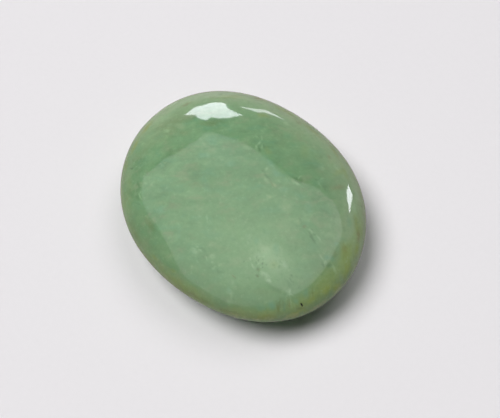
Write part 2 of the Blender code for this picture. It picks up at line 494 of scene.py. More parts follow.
        Patch(Tint.MOSS, (-15.9, 4.8, 17.0), (2.7, 0.78, 0.8), 53, 0.30),
        Patch(Tint.TEAL, (-9.5, -13.7, 17.2), (2.2, 0.7, 1.1), 41, 0.20),
        Patch(Tint.TEAL, (5.7, -12.7, 17.6), (1.9, 0.85, 0.8), 46, 0.20),
        Patch(Tint.BROWN, (-22.2, 10.3, 14.2), (1.2, 0.81, 1.0), 78, 0.17),
        Patch(Tint.BROWN, (-15.9, 18.7, 12.7), (0.9, 0.92, 1.5), -49, 0.63),
        Patch(Tint.BROWN, (-24.9, 4.5, 14.3), (1.7, 0.68, 0.9), 88, 0.42),
        Patch(Tint.OLIVE, (-26.7, -5.6, 12.9), (2.3, 0.97, 1.7), -68, 0.70),
        Patch(Tint.OLIVE, (-24.6, -10.7, 12.9), (2.4, 0.7, 1.3), -62, 0.60),
        Patch(Tint.OLIVE, (-22.5, -15.0, 11.9), (2.1, 0.63, 1.7), -43, 0.30),
        Patch(Tint.OLIVE, (-19.9, 14.1, 13.8), (4.2, 0.82, 1.5), 55, 0.35),
        Patch(Tint.OLIVE, (-9.5, 21.2, 12.6), (3.3, 1.2, 1.9), 15, 0.50),
        Patch(Tint.OLIVE, (-1.6, 22.4, 12.8), (4.0, 0.9, 1.5), -1, 0.45),
        Patch(Tint.OLIVE, (5.6, 22.5, 12.6), (3.1, 0.63, 1.2), -15, 0.40),
        Patch(Tint.OLIVE, (11.3, 20.4, 13.0), (2.8, 0.72, 0.9), -23, 0.35),
        # The pale cloud and its dark grains
        Patch(Tint.WARM, (14.9, -6.6, 17.2), (1.2, 1, 0.9), 55, 0.22),
        Patch(Tint.TEAL, (16.3, -4.8, 17.0), (1.7, 0.83, 0.8), -42, 0.35),
        Patch(Tint.MILKY, (11.8, -8.6, 17.5), (0.5, 0.25, 0.8), -12, 0.22),
        Patch(Tint.MILKY, (14.5, -10.3, 16.9), (0.6, 0.27, 0.8), -20, 0.34),
        Patch(Tint.MILKY, (15.9, -10.9, 16.5), (0.7, 0.3, 0.8), 6, 0.42),
        Patch(Tint.MILKY, (15.9, -7.9, 16.9), (0.4, 0.31, 0.8), 54, 0.32),
        Patch(Tint.MILKY, (18.4, -10.3, 15.9), (0.7, 0.44, 0.8), 9, 0.40),
        Patch(Tint.MILKY, (20.2, -10.3, 15.4), (0.9, 0.45, 0.8), 24, 0.22),
        Patch(Tint.GRAIN, (15.2, -9.1, 16.9), (0.5, 0.19, 0.8), -41, 0.20),
        Patch(Tint.GRAIN, (15.8, -9.9, 16.7), (0.4, 0.19, 0.8), -41, 0.20),
        Patch(Tint.GRAIN, (16.3, -8.4, 16.8), (0.2, 0.18, 0.8), 55, 0.16),
        Patch(Tint.MOSS, (17.2, -10.4, 16.3), (0.6, 0.38, 0.8), 50, 0.34),
        Patch(Tint.MOSS, (17.9, -11.2, 15.9), (0.4, 0.29, 0.8), 34, 0.40),
        Patch(Tint.GRAIN, (17.6, -8.7, 16.4), (0.3, 0.21, 0.8), -8, 0.20),
        Patch(Tint.MILKY, (17.1, -9.7, 16.4), (0.2, 0.2, 0.8), 52, 0.35),
        Patch(Tint.OLIVE, (18.5, -7.3, 16.3), (1.0, 0.99, 0.9), 75, 0.16),
        Patch(Tint.MILKY, (19.7, -5.6, 16.2), (1.5, 0.50, 0.9), 1, 0.18),
        Patch(Tint.DEEP, (19.2, -5.8, 16.3), (0.6, 0.17, 0.8), 1, 0.35),
        Patch(Tint.DEEP, (14.1, -11.7, 16.7), (0.3, 0.22, 0.8), 48, 0.40),
        Patch(Tint.DEEP, (16.9, -13.0, 15.7), (0.5, 0.34, 0.8), 48, 0.25),
        Patch(Tint.DEEP, (23.0, -7.3, 14.8), (1.5, 0.46, 1.3), -1, 0.28),
        Patch(Tint.MILKY, (24.3, -8.1, 14.0), (0.8, 0.32, 0.9), -35, 0.28),
        Patch(Tint.MILKY, (25.0, -8.2, 13.6), (1.0, 0.23, 0.8), 53, 0.30),
        Patch(Tint.DEEP, (22.4, -10.2, 14.5), (2.6, 0.65, 1.7), 23, 0.26),
        Patch(Tint.BROWN, (20.9, -12.6, 14.4), (2.5, 0.9, 1.1), 45, 0.10),
        # Streaks across the near rim
        Patch(Tint.MOSS, (24.9, -11.3, 12.6), (1.3, 0.35, 2.1), -43, 0.50),
        Patch(Tint.MOSS, (25.6, -9.8, 12.7), (1.2, 0.23, 1.9), -40, 0.42),
        Patch(Tint.TEAL, (23.9, -12.8, 12.6), (1.0, 0.93, 1.7), -44, 0.45),
        Patch(Tint.TEAL, (25.6, -10.7, 12.3), (1.0, 0.31, 1.7), -40, 0.50),
        Patch(Tint.MILKY, (26.0, -9.1, 12.7), (1.3, 0.25, 2.1), -27, 0.26),
        Patch(Tint.MILKY, (27.0, -9.0, 11.7), (0.8, 0.21, 1.7), -18, 0.20),
        Patch(Tint.TEAL, (26.6, -5.5, 13.0), (1.1, 0.74, 1.4), -46, 0.55),
        Patch(Tint.MOSS, (27.4, -4.3, 12.6), (1.2, 0.3, 1.6), -40, 0.32),
        Patch(Tint.MOSS, (28.6, -3.8, 11.6), (1.6, 0.33, 2.1), -59, 0.25),
        Patch(Tint.GOLD, (28.6, -1.4, 11.7), (1.6, 0.83, 1.7), -80, 0.60),
        Patch(Tint.MOSS, (27.7, -8.5, 11.1), (0.9, 0.44, 1.3), 57, 0.32),
        Patch(Tint.TEAL, (26.3, -8.0, 12.7), (0.9, 0.57, 1.3), 21, 0.35),
        # Painted reflection: the pale lip along the near edge, where the rim mirrors the lit floor
        Patch(Tint.LIP_SHEEN, (24.1, -15.4, 9.8), (3.3, 0.16, 1.2), 46, 0.75),
        Patch(Tint.LIP_SHEEN, (27.7, -10.2, 9.8), (3.0, 0.18, 1.2), 63, 0.60),
        Patch(Tint.LIP_SHEEN, (29.6, -4.5, 9.5), (3.1, 0.21, 1.3), 83, 0.60),
        Patch(Tint.LIP_SHEEN, (29.8, 0.8, 9.8), (2.3, 0.22, 1.6), -83, 0.55),
        Patch(Tint.LIP_SHEEN, (19.7, -19.0, 10.1), (2.9, 0.18, 1.2), 34, 0.35),
        # Broad shades
        Patch(Tint.DEEP, (-5.3, -12.9, 17.7), (4.2, 2.6, 1.8), -1, 0.16),
        Patch(Tint.PALE, (1.8, 12.2, 17.1), (3.0, 2.1, 1.6), -4, 0.32),
        Patch(Tint.LIP_SHEEN, (-17.3, -17.9, 13.4), (3.1, 0.95, 1.7), -32, 0.18),
        Patch(Tint.MOSS, (-15.8, 19.7, 11.8), (3.4, 2.1, 3.1), 44, 0.24),
        Patch(Tint.MOSS, (-1.5, -25.0, 9.4), (3.7, 0.4, 2.5), -2, 0.34),
        Patch(Tint.PALE, (-20.3, -15.0, 13.6), (2.4, 1.4, 2.1), -43, 0.24),
        Patch(Tint.PALE, (10.6, 22.2, 11.8), (3.1, 1.5, 2.3), -29, 0.20),
        # Dull places on the left rim
        Patch(Tint.MOSS, (-7.5, -23.9, 11.2), (4.1, 0.99, 3.4), -17, 0.20),
        Patch(Tint.MOSS, (6.4, -24.1, 10.1), (3.7, 0.61, 2.6), 10, 0.14),
        Patch(Tint.BROWN, (-21.2, -10.3, 15.0), (3.7, 1.4, 1.5), -66, 0.12),
        # Small flecks at the front
        Patch(Tint.MILKY, (6.2, -16.9, 16.4), (0.7, 0.27, 0.8), 9, 0.30),
        Patch(Tint.MILKY, (5.1, -16.8, 16.6), (0.4, 0.24, 0.8), 42, 0.26),
        Patch(Tint.MILKY, (8.0, -16.8, 16.3), (0.6, 0.2, 0.8), -10, 0.24),
        Patch(Tint.MILKY, (9.6, -16.5, 16.1), (0.5, 0.19, 0.8), 18, 0.24),
        Patch(Tint.DEEP, (12.5, -16.3, 15.7), (0.7, 0.21, 0.8), 1, 0.26),
        Patch(Tint.TEAL, (16.0, -17.4, 14.1), (0.9, 0.47, 1.1), -15, 0.30),
        Patch(Tint.MILKY, (17.1, -17.8, 13.4), (0.7, 0.32, 1.1), -27, 0.22),
        Patch(Tint.MILKY, (15.5, -10.1, 16.7), (0.3, 0.24, 0.8), 50, 0.34),
        Patch(Tint.MILKY, (16.4, -9.6, 16.6), (0.3, 0.2, 0.8), 51, 0.34),
        Patch(Tint.MILKY, (15.4, -8.6, 16.9), (0.2, 0.2, 0.8), 53, 0.30),
        Patch(Tint.MILKY, (16.9, -8.4, 16.6), (0.3, 0.21, 0.8), -42, 0.26),
        Patch(Tint.MILKY, (19.3, -9.9, 15.8), (0.9, 0.59, 0.8), 25, 0.22),
    )
    inclusions: tuple[Inclusion, ...] = (
        Inclusion((27.6, -7.5), 0.36, 0.20, 10.0, 1.0),
    )

    def material(self) -> bpy.types.Material:
        """Builds the whole material.

        Returns:
            The finished material.
        """
        made = bpy.data.materials.new(self.name)
        made.use_nodes = True
        made.node_tree.nodes.clear()
        graph = Graph(made.node_tree)
        place = self.place_in_mm(graph)
        upper = self.upper_side(graph, place)
        shaken = self.shaken_place(graph, place)
        drawn = graph.mapped(place, turn=self.fibre_turn, scale=self.fibre_stretch)
        fibres = graph.noise(drawn, 1.3, 3.0, 0.6)
        colour = self.mottled_body(graph, place)
        colour = self.rim_colour_and_painted_light(graph, place, fibres, colour)
        for patch in self.patches:
            colour = self.add_patch(graph, shaken, colour, patch)
        colour = self.fine_grain(graph, place, colour)
        for inclusion in self.inclusions:
            colour = self.add_inclusion(graph, place, upper, colour, inclusion)
        self.finish(graph, place, colour)
        return made

    def place_in_mm(self, graph: Graph) -> Socket:
        """Gives the place on the stone in millimetres.

        Args:
            graph: The material's nodes.

        Returns:
            The place.
        """
        coordinates = graph.node("ShaderNodeTexCoord")
        scaled = graph.vector("SCALE", coordinates.outputs["Object"])
        scaled.inputs["Scale"].default_value = 1 / MM
        return scaled.outputs["Vector"]

    def upper_side(self, graph: Graph, place: Socket) -> Socket:
        """Gives 1 on the top of the stone and 0 on its underside.

        Args:
            graph: The material's nodes.
            place: The place in millimetres.

        Returns:
            The share.
        """
        parts = graph.node("ShaderNodeSeparateXYZ")
        graph.feed(parts.inputs[0], place)
        return graph.ramp(parts.outputs["Z"], 6.0, 9.5)

    def shaken_place(self, graph: Graph, place: Socket) -> Socket:
        """Moves each place a little, so that the patches get uneven borders.

        Args:
            graph: The material's nodes.
            place: The place in millimetres.

        Returns:
            The moved place.
        """
        moved = place
        for size, reach in ((2.4, (1.7, -1.0, 0.8)), (0.7, (0.35, 0.7, 0.3))):
            swing = graph.math("SUBTRACT", graph.noise(place, size, 3.0, 0.6), 0.5)
            shift = graph.vector("SCALE", reach)
            graph.feed(shift.inputs["Scale"], swing)
            moved = graph.vector("ADD", shift.outputs["Vector"], moved).outputs["Vector"]
        return moved

    def mottled_body(self, graph: Graph, place: Socket) -> Socket:
        """Makes the cloudy green of the stone's body at several scales.

        Args:
            graph: The material's nodes.
            place: The place in millimetres.

        Returns:
            The body colour.
        """
        along = graph.mapped(place, turn=self.grain_turn, scale=self.grain_stretch)
        broad = graph.ramp(graph.noise(along, 9.0, 2.0, 0.5, 0.4), 0.35, 0.68)
        colour = graph.mix(graph.math("MULTIPLY", broad, 0.30), self.body, self.pale)
        medium = graph.noise(along, 3.4, 3.0, 0.62, 0.35)
        colour = graph.mix(graph.ramp(medium, 0.50, 0.74, 0.60), colour, self.pale)
        colour = graph.mix(graph.ramp(medium, 0.50, 0.26, 0.55), colour, self.deep)
        shifted = graph.mapped(along, (31.0, 7.0, 3.0))
        warm = graph.noise(shifted, 2.6, 4.0, 0.62, 0.3)
        colour = graph.mix(graph.ramp(warm, 0.50, 0.72, 0.50), colour, self.haze)
        return graph.mix(graph.ramp(warm, 0.50, 0.28, 0.42), colour, self.cool)

    def rim_colour_and_painted_light(
        self, graph: Graph, place: Socket, fibres: Socket, colour: Socket
    ) -> Socket:
        """Colours the rim: a pale band on the far side, which is painted reflection of the bright
        floor; a mossy band on the near side, which is partly painted shade; and the stone's own
        olive stain at the very edge.

        Args:
            graph: The material's nodes.
            place: The place in millimetres.
            fibres: The stone's fibres.
            colour: The colour so far.

        Returns:
            The colour with the rim's olive stain and its painted reflection and shade.
        """
        share = graph.node("ShaderNodeAttribute", attribute_name="rim_share").outputs["Fac"]
        wander = graph.math("MULTIPLY_ADD", graph.noise(place, 6.0, 4.0, 0.6), 0.22, -0.11)
        edge = graph.math("ADD", share, wander)
        parts = graph.node("ShaderNodeSeparateXYZ")
        graph.feed(parts.inputs[0], place)
        across = graph.math("MULTIPLY_ADD", parts.outputs["X"], -0.25, parts.outputs["Y"])
        far = graph.ramp(across, -12.0, 6.0)
        # Painted reflection: a pale band on the far rim, where the polish mirrors the bright floor
        pale = graph.math("MULTIPLY", graph.ramp(edge, 0.62, 0.95, 0.74), far)
        colour = graph.mix(pale, colour, self.pale_grey_and_sheen)
        near = graph.math("SUBTRACT", 1.0, far)
        # Partly painted shade: the near rim goes darker and mossy, where the floor beside the
        # stone is shaded
        near_shade_and_moss = graph.math("MULTIPLY", graph.ramp(edge, 0.72, 1.0, 0.24), near)
        colour = graph.mix(near_shade_and_moss, colour, self.moss)
        stain = graph.ramp(edge, 0.90, 1.02, 0.45)
        stain = graph.math("MULTIPLY", stain, graph.ramp(fibres, 0.3, 0.7))
        return graph.mix(stain, colour, self.olive)

    def fine_grain(self, graph: Graph, place: Socket, colour: Socket) -> Socket:
        """Adds the fine sugary grain of the stone.

        Args:
            graph: The material's nodes.
            place: The place in millimetres.
            colour: The colour so far.

        Returns:
            The grained colour.
        """
        fine = graph.noise(place, 0.9, 4.0, 0.72)
        colour = graph.mix(graph.ramp(fine, 0.50, 0.80, 0.24), colour, self.milky)
        return graph.mix(graph.ramp(fine, 0.50, 0.22, 0.30), colour, self.deep)

    def tint_colour(self, tint: Tint) -> Colour:
        """Gives the colour of a tint."""
        return getattr(self, tint.value)

    def oval(self, graph: Graph, place: Socket, middle: Place, size: Place, turn: float) -> Socket:
        """Measures how far a place is from an oval's middle, 1 on its border.

        Args:
            graph: The material's nodes.
            place: The place in millimetres.
            middle: The oval's middle.
            size: Its half sizes.
            turn: The turn of its length from +X, in degrees.

        Returns:
            The distance as a share of the oval's half size.
        """
        turned = graph.node("ShaderNodeVectorRotate", rotation_type="Z_AXIS")
        graph.feed(turned.inputs["Vector"], place)
        turned.inputs["Center"].default_value = middle
        turned.inputs["Angle"].default_value = -math.radians(turn)
        shrink = tuple(1 / half for half in size)
        centre = tuple(-part / half for part, half in zip(middle, size))
        local = graph.vector("MULTIPLY_ADD", turned.outputs["Vector"], shrink, centre)
        return graph.vector("LENGTH", local.outputs["Vector"]).outputs["Value"]

    def add_patch(self, graph: Graph, shaken: Socket, colour: Socket, patch: Patch) -> Socket:
        """Tints one soft patch.

        Args:
            graph: The material's nodes.
            shaken: The place in millimetres, moved a little to make borders uneven.
            colour: The colour so far.
            patch: The patch.

        Returns:
            The colour with the patch.
        """
        distance = self.oval(graph, shaken, patch.middle, patch.size, patch.turn)
        share = graph.ramp(distance, self.patch_border, self.patch_core, patch.strength)
        return graph.mix(share, colour, self.tint_colour(patch.tint))

    def add_inclusion(
        self, graph: Graph, place: Socket, upper: Socket, colour: Socket, inclusion: Inclusion
    ) -> Socket:
        """Sets one dark grain, with a thin stain around it.

        Args:
            graph: The material's nodes.
            place: The place in millimetres.
            upper: 1 on the top of the stone.
            colour: The colour so far.
            inclusion: The grain.

        Returns:
            The colour with the grain.
        """
        middle = (*inclusion.middle, 0.0)
        size = (inclusion.half_length, inclusion.half_width, 1.0)
        flat = graph.vector("MULTIPLY", place, (1.0, 1.0, 0.0)).outputs["Vector"]
        distance = self.oval(graph, flat, middle, size, inclusion.turn)
        wander = graph.math("SUBTRACT", graph.noise(place, 0.25, 2.0, 0.6), 0.5)
        distance = graph.math("MULTIPLY_ADD", wander, 1.2, distance)
        halo = graph.math("MULTIPLY", graph.ramp(distance, 3.2, 0.9), upper)
        stain = graph.math("MULTIPLY", halo, 0.35 * inclusion.darkness)
        colour = graph.mix(stain, colour, self.olive)
        core = graph.math("MULTIPLY", graph.ramp(distance, 1.2, 0.7), upper)
        return graph.mix(graph.math("MULTIPLY", core, inclusion.darkness), colour, self.grain)

    def finish(self, graph: Graph, place: Socket, colour: Socket) -> None:
        """Adds the shader: a polished surface over stone that light enters a little.

        Args:
            graph: The material's nodes.
            place: The place in millimetres.
            colour: The stone's colour.
        """
        shader = graph.node("ShaderNodeBsdfPrincipled", subsurface_method="RANDOM_WALK")
        graph.feed(shader.inputs["Base Color"], colour)
        wiped = graph.noise(place, 2.5, 4.0, 0.6)
        rough = graph.math("MULTIPLY_ADD", wiped, self.wipe, self.roughness - self.wipe / 2)
        graph.feed(shader.inputs["Roughness"], rough)
        shader.inputs["IOR"].default_value = self.index
        shader.inputs["Subsurface Weight"].default_value = self.glow_share
        shader.inputs["Subsurface Radius"].default_value = self.glow_spread
        shader.inputs["Subsurface Scale"].default_value = self.glow_depth
        bump = graph.node("ShaderNodeBump")
        graph.feed(bump.inputs["Height"], graph.noise(place, self.ripple_size, 3.0, 0.5))
        bump.inputs["Strength"].default_value = 1.0
        bump.inputs["Distance"].default_value = self.ripple_height
        graph.feed(shader.inputs["Normal"], bump.outputs["Normal"])
        output = graph.node("ShaderNodeOutputMaterial")
        graph.feed(output.inputs["Surface"], shader.outputs["BSDF"])


@dataclass
class PalmStone:
    """The stone itself: an oval outline, a low dome above, and a shallower underside."""

    length: float = 0.060
    width: float = 0.050
    dome_rise: float = 0.0025
    edge_rise: float = 0.0071
    outline_fullness: float = 2.06
    edge_fullness: float = 3.4
    lean: float = -0.009
    apex_x: float = -0.0008
    apex_y: float = -0.0028
    under_share: float = 0.945
    flat_share: float = 0.30
    wave_height: float = 0.045 * MM
    wave_size: float = 9.0 * MM
    lean_waves: float = 4.0
    flat_blend: float = 0.02 * MM
    detail: int = 121

    def rise(self, share: float) -> float:
        """Gives the dome's height above the widest line, where share is 0 at the middle."""
        edge = math.sqrt(max(0.0, 1 - share**self.edge_fullness))
        return self.dome_rise * (1 - share**2) + self.edge_rise * edge

    def belt_height(self) -> float:
        """Gives the height of the widest line above what the stone rests on."""
        return self.under_share * self.rise(self.flat_share)

    def sizes(self) -> dict[str, float]:
        """Gives the shape tree's inputs by name."""
        return {
            "Length": self.length,
            "Width": self.width,
            "Dome Rise": self.dome_rise,
            "Edge Rise": self.edge_rise,
            "Outline Fullness": self.outline_fullness,
            "Edge Fullness": self.edge_fullness,
            "Lean": self.lean,
            "Apex X": self.apex_x,
            "Apex Y": self.apex_y,
            "Under Share": self.under_share,
            "Belt Height": self.belt_height(),
            "Wave Height": self.wave_height,
            "Wave Size": self.wave_size,
        }

    def shape_tree(self, material: bpy.types.Material) -> bpy.types.NodeTree:
        """Builds the Geometry Nodes tree that turns a gridded cube into the stone.

        Args:
            material: The stone's finish.

        Returns:
            The node tree.
        """
        tree = bpy.data.node_groups.new("palm_stone_shape", "GeometryNodeTree")
        for name in self.sizes():
            tree.interface.new_socket(name, in_out="INPUT", socket_type="NodeSocketFloat")
        tree.interface.new_socket("Stone", in_out="OUTPUT", socket_type="NodeSocketGeometry")
        graph = Graph(tree)
        given = graph.node("NodeGroupInput").outputs
        ball = self.gridded_ball(graph)
        placed, share = self.placed(graph, given)
        stored = graph.node("GeometryNodeStoreNamedAttribute", data_type="FLOAT", domain="POINT")
        stored.inputs["Name"].default_value = "rim_share"
        graph.feed(stored.inputs["Geometry"], ball)
        graph.feed(stored.inputs["Value"], share)
        shaped = graph.node("GeometryNodeSetPosition")
        graph.feed(shaped.inputs["Geometry"], stored.outputs["Geometry"])
        graph.feed(shaped.inputs["Position"], placed)
        waved = self.waved(graph, given, shaped.outputs["Geometry"])
        smooth = graph.node("GeometryNodeSetShadeSmooth")
        graph.feed(smooth.inputs["Geometry"], waved)
        dressed = graph.node("GeometryNodeSetMaterial")
        dressed.inputs["Material"].default_value = material
        real = graph.node("GeometryNodeRealizeInstances")
        graph.feed(real.inputs["Geometry"], smooth.outputs["Geometry"])
        graph.feed(dressed.inputs["Geometry"], real.outputs["Geometry"])
        output = graph.node("NodeGroupOutput")
        graph.feed(output.inputs[0], dressed.outputs["Geometry"])
        return tree

    def gridded_ball(self, graph: Graph) -> Socket:
        """Makes a cube whose sides are grids, with no pole to pinch the polish.

        Args:
            graph: The shape tree's nodes.

        Returns:
            The cube.
        """
        cube = graph.node("GeometryNodeMeshCube")
        cube.inputs["Size"].default_value = (2.0, 2.0, 2.0)
        for side in ("Vertices X", "Vertices Y", "Vertices Z"):
            cube.inputs[side].default_value = self.detail
        return cube.outputs["Mesh"]

    def placed(self, graph: Graph, given: bpy.types.NodeOutputs) -> tuple[Socket, Socket]:
        """Works out each point's place on the stone from its direction on a ball.

        Args:
            graph: The shape tree's nodes.
            given: The tree's named inputs.

        Returns:
            The place, and the share of the way from the middle to the rim.
        """
        corner = graph.node("GeometryNodeInputPosition").outputs[0]
        spread = graph.vector("SCALE", corner)
        spread.inputs["Scale"].default_value = math.pi / 4
        even = graph.vector("TANGENT", spread.outputs["Vector"]).outputs["Vector"]
        direction = graph.vector("NORMALIZE", even).outputs["Vector"]
        parts = graph.node("ShaderNodeSeparateXYZ")
        graph.feed(parts.inputs[0], direction)
        x, y, z = parts.outputs
        flat = graph.vector("MULTIPLY", direction, (1.0, 1.0, 0.0)).outputs["Vector"]
        share = graph.vector("LENGTH", flat).outputs["Value"]
        share = graph.math("MINIMUM", share, 1.0)
        angle = graph.math("ARCTAN2", y, x)
        cosine = graph.math("COSINE", angle)
        sine = graph.math("SINE", angle)
        fullness = given["Outline Fullness"]
        along = graph.math("DIVIDE", cosine, graph.math("MULTIPLY", given["Length"], 0.5))
        across = graph.math("DIVIDE", sine, graph.math("MULTIPLY", given["Width"], 0.5))
        along = graph.math("POWER", graph.math("ABSOLUTE", along), fullness)
        across = graph.math("POWER", graph.math("ABSOLUTE", across), fullness)
        power = graph.math("DIVIDE", -1.0, fullness)
        radius = graph.math("POWER", graph.math("ADD", along, across), power)
        waves = graph.math("SINE", graph.math("MULTIPLY", angle, self.lean_waves))
        leaning = graph.math("MULTIPLY_ADD", waves, given["Lean"], 1.0)
        radius = graph.math("MULTIPLY", radius, leaning)
        reach = graph.math("MULTIPLY", radius, share)
        rise = self.rise_field(graph, given, share)
        top = graph.math("GREATER_THAN", z, 0.0)
        inner = graph.math("SUBTRACT", 1.0, graph.math("MULTIPLY", share, share))
        shift = graph.math("MULTIPLY", inner, top)
        high = graph.math("ADD", given["Belt Height"], rise)
        depth = graph.math("MULTIPLY", rise, given["Under Share"])
        low = graph.math("SUBTRACT", given["Belt Height"], depth)
        low = graph.math("SMOOTH_MAX", low, 0.0, self.flat_blend)
        height = graph.node("GeometryNodeSwitch", input_type="FLOAT")
        graph.feed(height.inputs["Switch"], top)
        graph.feed(height.inputs["False"], low)
        graph.feed(height.inputs["True"], high)
        place = graph.node("ShaderNodeCombineXYZ")
        across_x = graph.math("MULTIPLY", reach, cosine)
        across_y = graph.math("MULTIPLY", reach, sine)
        graph.feed(place.inputs["X"], graph.math("MULTIPLY_ADD", shift, given["Apex X"], across_x))
        graph.feed(place.inputs["Y"], graph.math("MULTIPLY_ADD", shift, given["Apex Y"], across_y))
        graph.feed(place.inputs["Z"], height.outputs[0])
        return place.outputs[0], share

    def rise_field(self, graph: Graph, given: bpy.types.NodeOutputs, share: Socket) -> Socket:
        """Works out the dome's height above the widest line, as rise does for one number.

        Args:
            graph: The shape tree's nodes.
            given: The tree's named inputs.
            share: The share of the way from the middle to the rim.

        Returns:
            The height.
        """
        inner = graph.math("SUBTRACT", 1.0, graph.math("MULTIPLY", share, share))
        power = graph.math("POWER", share, given["Edge Fullness"])
        edge = graph.math("SQRT", graph.math("MAXIMUM", graph.math("SUBTRACT", 1.0, power), 0.0))
        dome = graph.math("MULTIPLY", given["Dome Rise"], inner)
        return graph.math("MULTIPLY_ADD", given["Edge Rise"], edge, dome)

    def waved(self, graph: Graph, given: bpy.types.NodeOutputs, stone: Socket) -> Socket:
        """Gives the surface the faint waves of polishing by hand, except on the flat spot.

        Args:
            graph: The shape tree's nodes.
            given: The tree's named inputs.
            stone: The shaped stone.

        Returns:
            The waved stone.
        """
        place = graph.node("GeometryNodeInputPosition").outputs[0]
        noise = graph.node("ShaderNodeTexNoise")
        graph.feed(noise.inputs["Vector"], place)
        graph.feed(noise.inputs["Scale"], graph.math("DIVIDE", 1.0, given["Wave Size"]))
        noise.inputs["Detail"].default_value = 1.0
        noise.inputs["Roughness"].default_value = 0.35
        swing = graph.math("MULTIPLY_ADD", noise.outputs["Fac"], 2.0, -1.0)
        parts = graph.node("ShaderNodeSeparateXYZ")
        graph.feed(parts.inputs[0], place)
        off_flat = graph.ramp(parts.outputs["Z"], 0.0002, 0.0015)
        height = graph.math("MULTIPLY", swing, given["Wave Height"])
        height = graph.math("MULTIPLY", height, off_flat)
        normal = graph.node("GeometryNodeInputNormal").outputs[0]
        offset = graph.vector("SCALE", normal)
        graph.feed(offset.inputs["Scale"], height)
        moved = graph.node("GeometryNodeSetPosition")
        graph.feed(moved.inputs["Geometry"], stone)
        graph.feed(moved.inputs["Offset"], offset.outputs["Vector"])
        return moved.outputs["Geometry"]

    def build(self, finish: PolishedGreenStone) -> bpy.types.Object:
        """Makes the stone as a plain mesh with its material.

        Args:
            finish: The stone's finish.

        Returns:
            The stone, which rides on the part's one body.
        """
        material = finish.material()
        holder = bpy.data.objects.new("stone_maker", bpy.data.meshes.new("stone_maker"))
        bpy.context.scene.collection.objects.link(holder)
        modifier = holder.modifiers.new("Shape", "NODES")
        tree = self.shape_tree(material)
        modifier.node_group = tree
        values = self.sizes()
        for item in tree.interface.items_tree:
            if item.in_out == "INPUT":
                modifier[item.identifier] = values[item.name]
        graph = bpy.context.evaluated_depsgraph_get()
        mesh = bpy.data.meshes.new_from_object(holder.evaluated_get(graph))
        holder.modifiers.clear()
        bpy.data.objects.remove(holder)
        mesh.name = "polished_stone"
        stone = bpy.data.objects.new("polished_stone", mesh)
        bpy.context.scene.collection.objects.link(stone)
        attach(stone, "root")
        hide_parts("palm_stone")
        return stone


@dataclass(frozen=True)
class Softbox:
    """A glowing panel on a wide shell around the stone, which its polish reflects.

    Corners are directions as the photographer sees them: degrees right of straight ahead, and
    degrees above level. Glows are how bright it is at each corner. Fades are how far in from each
    corner its light dies away, as a share of the way to the panel's middle.
    """

    name: str
    corners: tuple[Point, ...]
    strength: float
    colour: Colour = (1.0, 1.0, 1.0)
    glows: tuple[float, ...] = ()
    fades: tuple[float, ...] = ()
    distance: float = 1.2


@dataclass(frozen=True)
class Lamp:
    """A soft round lamp, by its direction as for a softbox, its power and its diameter."""

    name: str
    right: float
    above: float
    power: float
    size: float
    distance: float = 4.0


@dataclass(frozen=True)
class Viewpoint:
    """Where the photograph was taken from, around a point at the height of the widest line."""

    heading: float = 49.18
    elevation: float = 63.3
    distance: float = 0.200
    pixels_per_mm: float = 4.470
    aim_pixel: Point = (242.2, 200.0)
    aim_height: float = 0.0088

    def turned(self) -> Matrix:
        """Gives the turn from the photographer's axes, +Y straight ahead, to the stone's."""
        return Matrix.Rotation(math.radians(self.heading), 3, "Z")

    def direction(self, right: float, above: float) -> Vector:
        """Gives a direction in the stone's axes.

        Args:
            right: Degrees to the right of straight ahead.
            above: Degrees above level.

        Returns:
            The unit direction.
        """
        flat = math.cos(math.radians(above))
        ahead = flat * math.cos(math.radians(right))
        sideways = flat * math.sin(math.radians(right))
        return self.turned() @ Vector((sideways, ahead, math.sin(math.radians(above))))

    def aim(self) -> Vector:
        """Gives the point that the camera looks at."""
        return Vector((0.0, 0.0, self.aim_height))

    def place_camera(self) -> bpy.types.Object:
        """Sets up the camera with the photograph's view and framing.

        Returns:
            The camera.
        """
        data = bpy.data.cameras.new("photo_camera")
        data.sensor_width = SENSOR
        focal_pixels = self.distance / MM * self.pixels_per_mm
        data.lens = focal_pixels / PHOTO_WIDTH * SENSOR
        data.shift_x = (PHOTO_WIDTH / 2 - self.aim_pixel[0]) / PHOTO_WIDTH
        data.shift_y = (self.aim_pixel[1] - PHOTO_HEIGHT / 2) / PHOTO_WIDTH
        data.clip_start = 0.01
        data.clip_end = 20.0
        camera = bpy.data.objects.new("photo_camera", data)
        bpy.context.scene.collection.objects.link(camera)
        back = self.direction(180.0, self.elevation)
        camera.location = self.aim() + back * self.distance
        camera.rotation_euler = (-back).to_track_quat("-Z", "Y").to_euler()
        bpy.context.scene.camera = camera
        return camera


